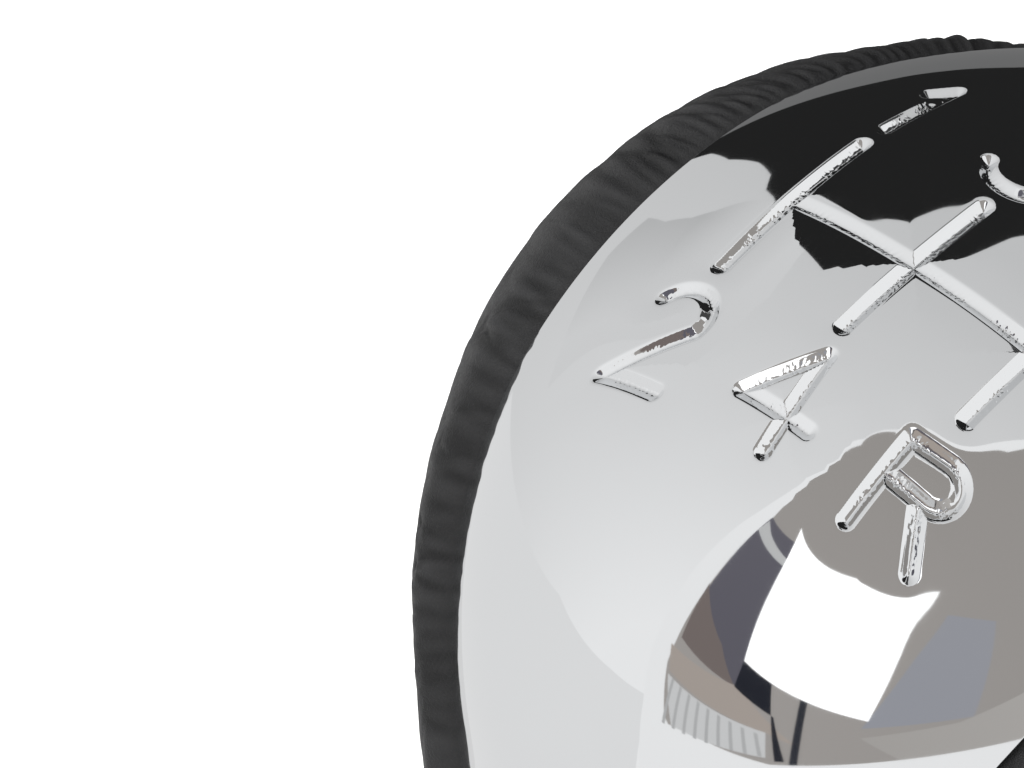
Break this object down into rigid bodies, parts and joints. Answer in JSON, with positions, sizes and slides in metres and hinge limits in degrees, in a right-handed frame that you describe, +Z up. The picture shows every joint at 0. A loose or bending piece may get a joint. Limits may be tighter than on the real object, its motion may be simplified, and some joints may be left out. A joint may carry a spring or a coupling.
{
  "type": "gear shift knob",
  "caption": "Gear shift knob: chrome cap with a recessed shift pattern over a gathered leather grip, threaded onto the lever.",
  "frame": {"origin": "centre of the boot collar's foot, where the lever enters", "axes": "+Z up along the lever, +Y forwards in the car (the side of the odd gears), +X right"},
  "size_m": [0.0448, 0.052, 0.084],
  "materials": {
    "chrome": "mirror",
    "black_leather": "fine grain, soft sheen",
    "thread": "twisted",
    "foam": "moulded foam",
    "core_plastic": "moulded",
    "collar_plastic": "fine texture",
    "zinc": "as cast",
    "steel": "zinc plated",
    "brass": "turned",
    "rubber": "matt"
  },
  "bodies": {
    "root": {"top_cap": "chrome", "cap_clips": "steel", "cap_pad": "foam", "leather_left": "black_leather", "leather_right": "black_leather", "front_stitches": "thread", "rear_stitches": "thread", "foam_liner": "foam", "core_lid": "core_plastic", "lid_screws": "steel", "core": "core_plastic", "weight_slug": "zinc", "spring_washer": "steel", "threaded_insert": "brass", "lever_bush": "rubber", "neck_ring": "chrome", "boot_collar": "collar_plastic", "collar_screws": "steel"}
  },
  "joints": []
}
